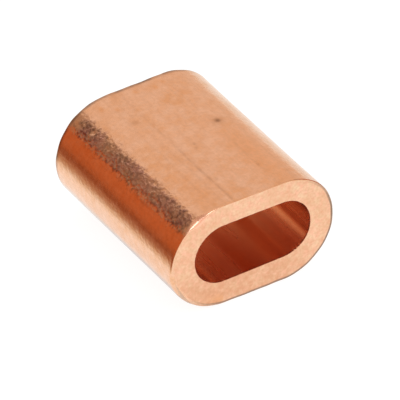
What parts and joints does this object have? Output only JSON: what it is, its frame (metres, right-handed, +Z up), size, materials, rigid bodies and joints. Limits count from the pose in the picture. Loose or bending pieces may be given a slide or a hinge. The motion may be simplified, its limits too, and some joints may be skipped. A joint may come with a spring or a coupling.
{
  "type": "wire rope ferrule",
  "caption": "Oval swage ferrule: a short seamless copper sleeve whose flat-sided oval bore holds a wire rope beside its returning end.",
  "frame": {"origin": "middle of the lower flat, which the ferrule rests on", "axes": "+X across the oval's width, +Y along the sleeve and the rope, +Z up through the oval's height"},
  "size_m": [0.0152, 0.018, 0.0097],
  "materials": {
    "drawn_copper": "bare drawn copper, satin outside with an orange-peel grain on the rounded sides, sawn and tumbled end faces, glossy bore"
  },
  "bodies": {
    "root": {"ferrule_sleeve": "drawn_copper"}
  },
  "joints": []
}
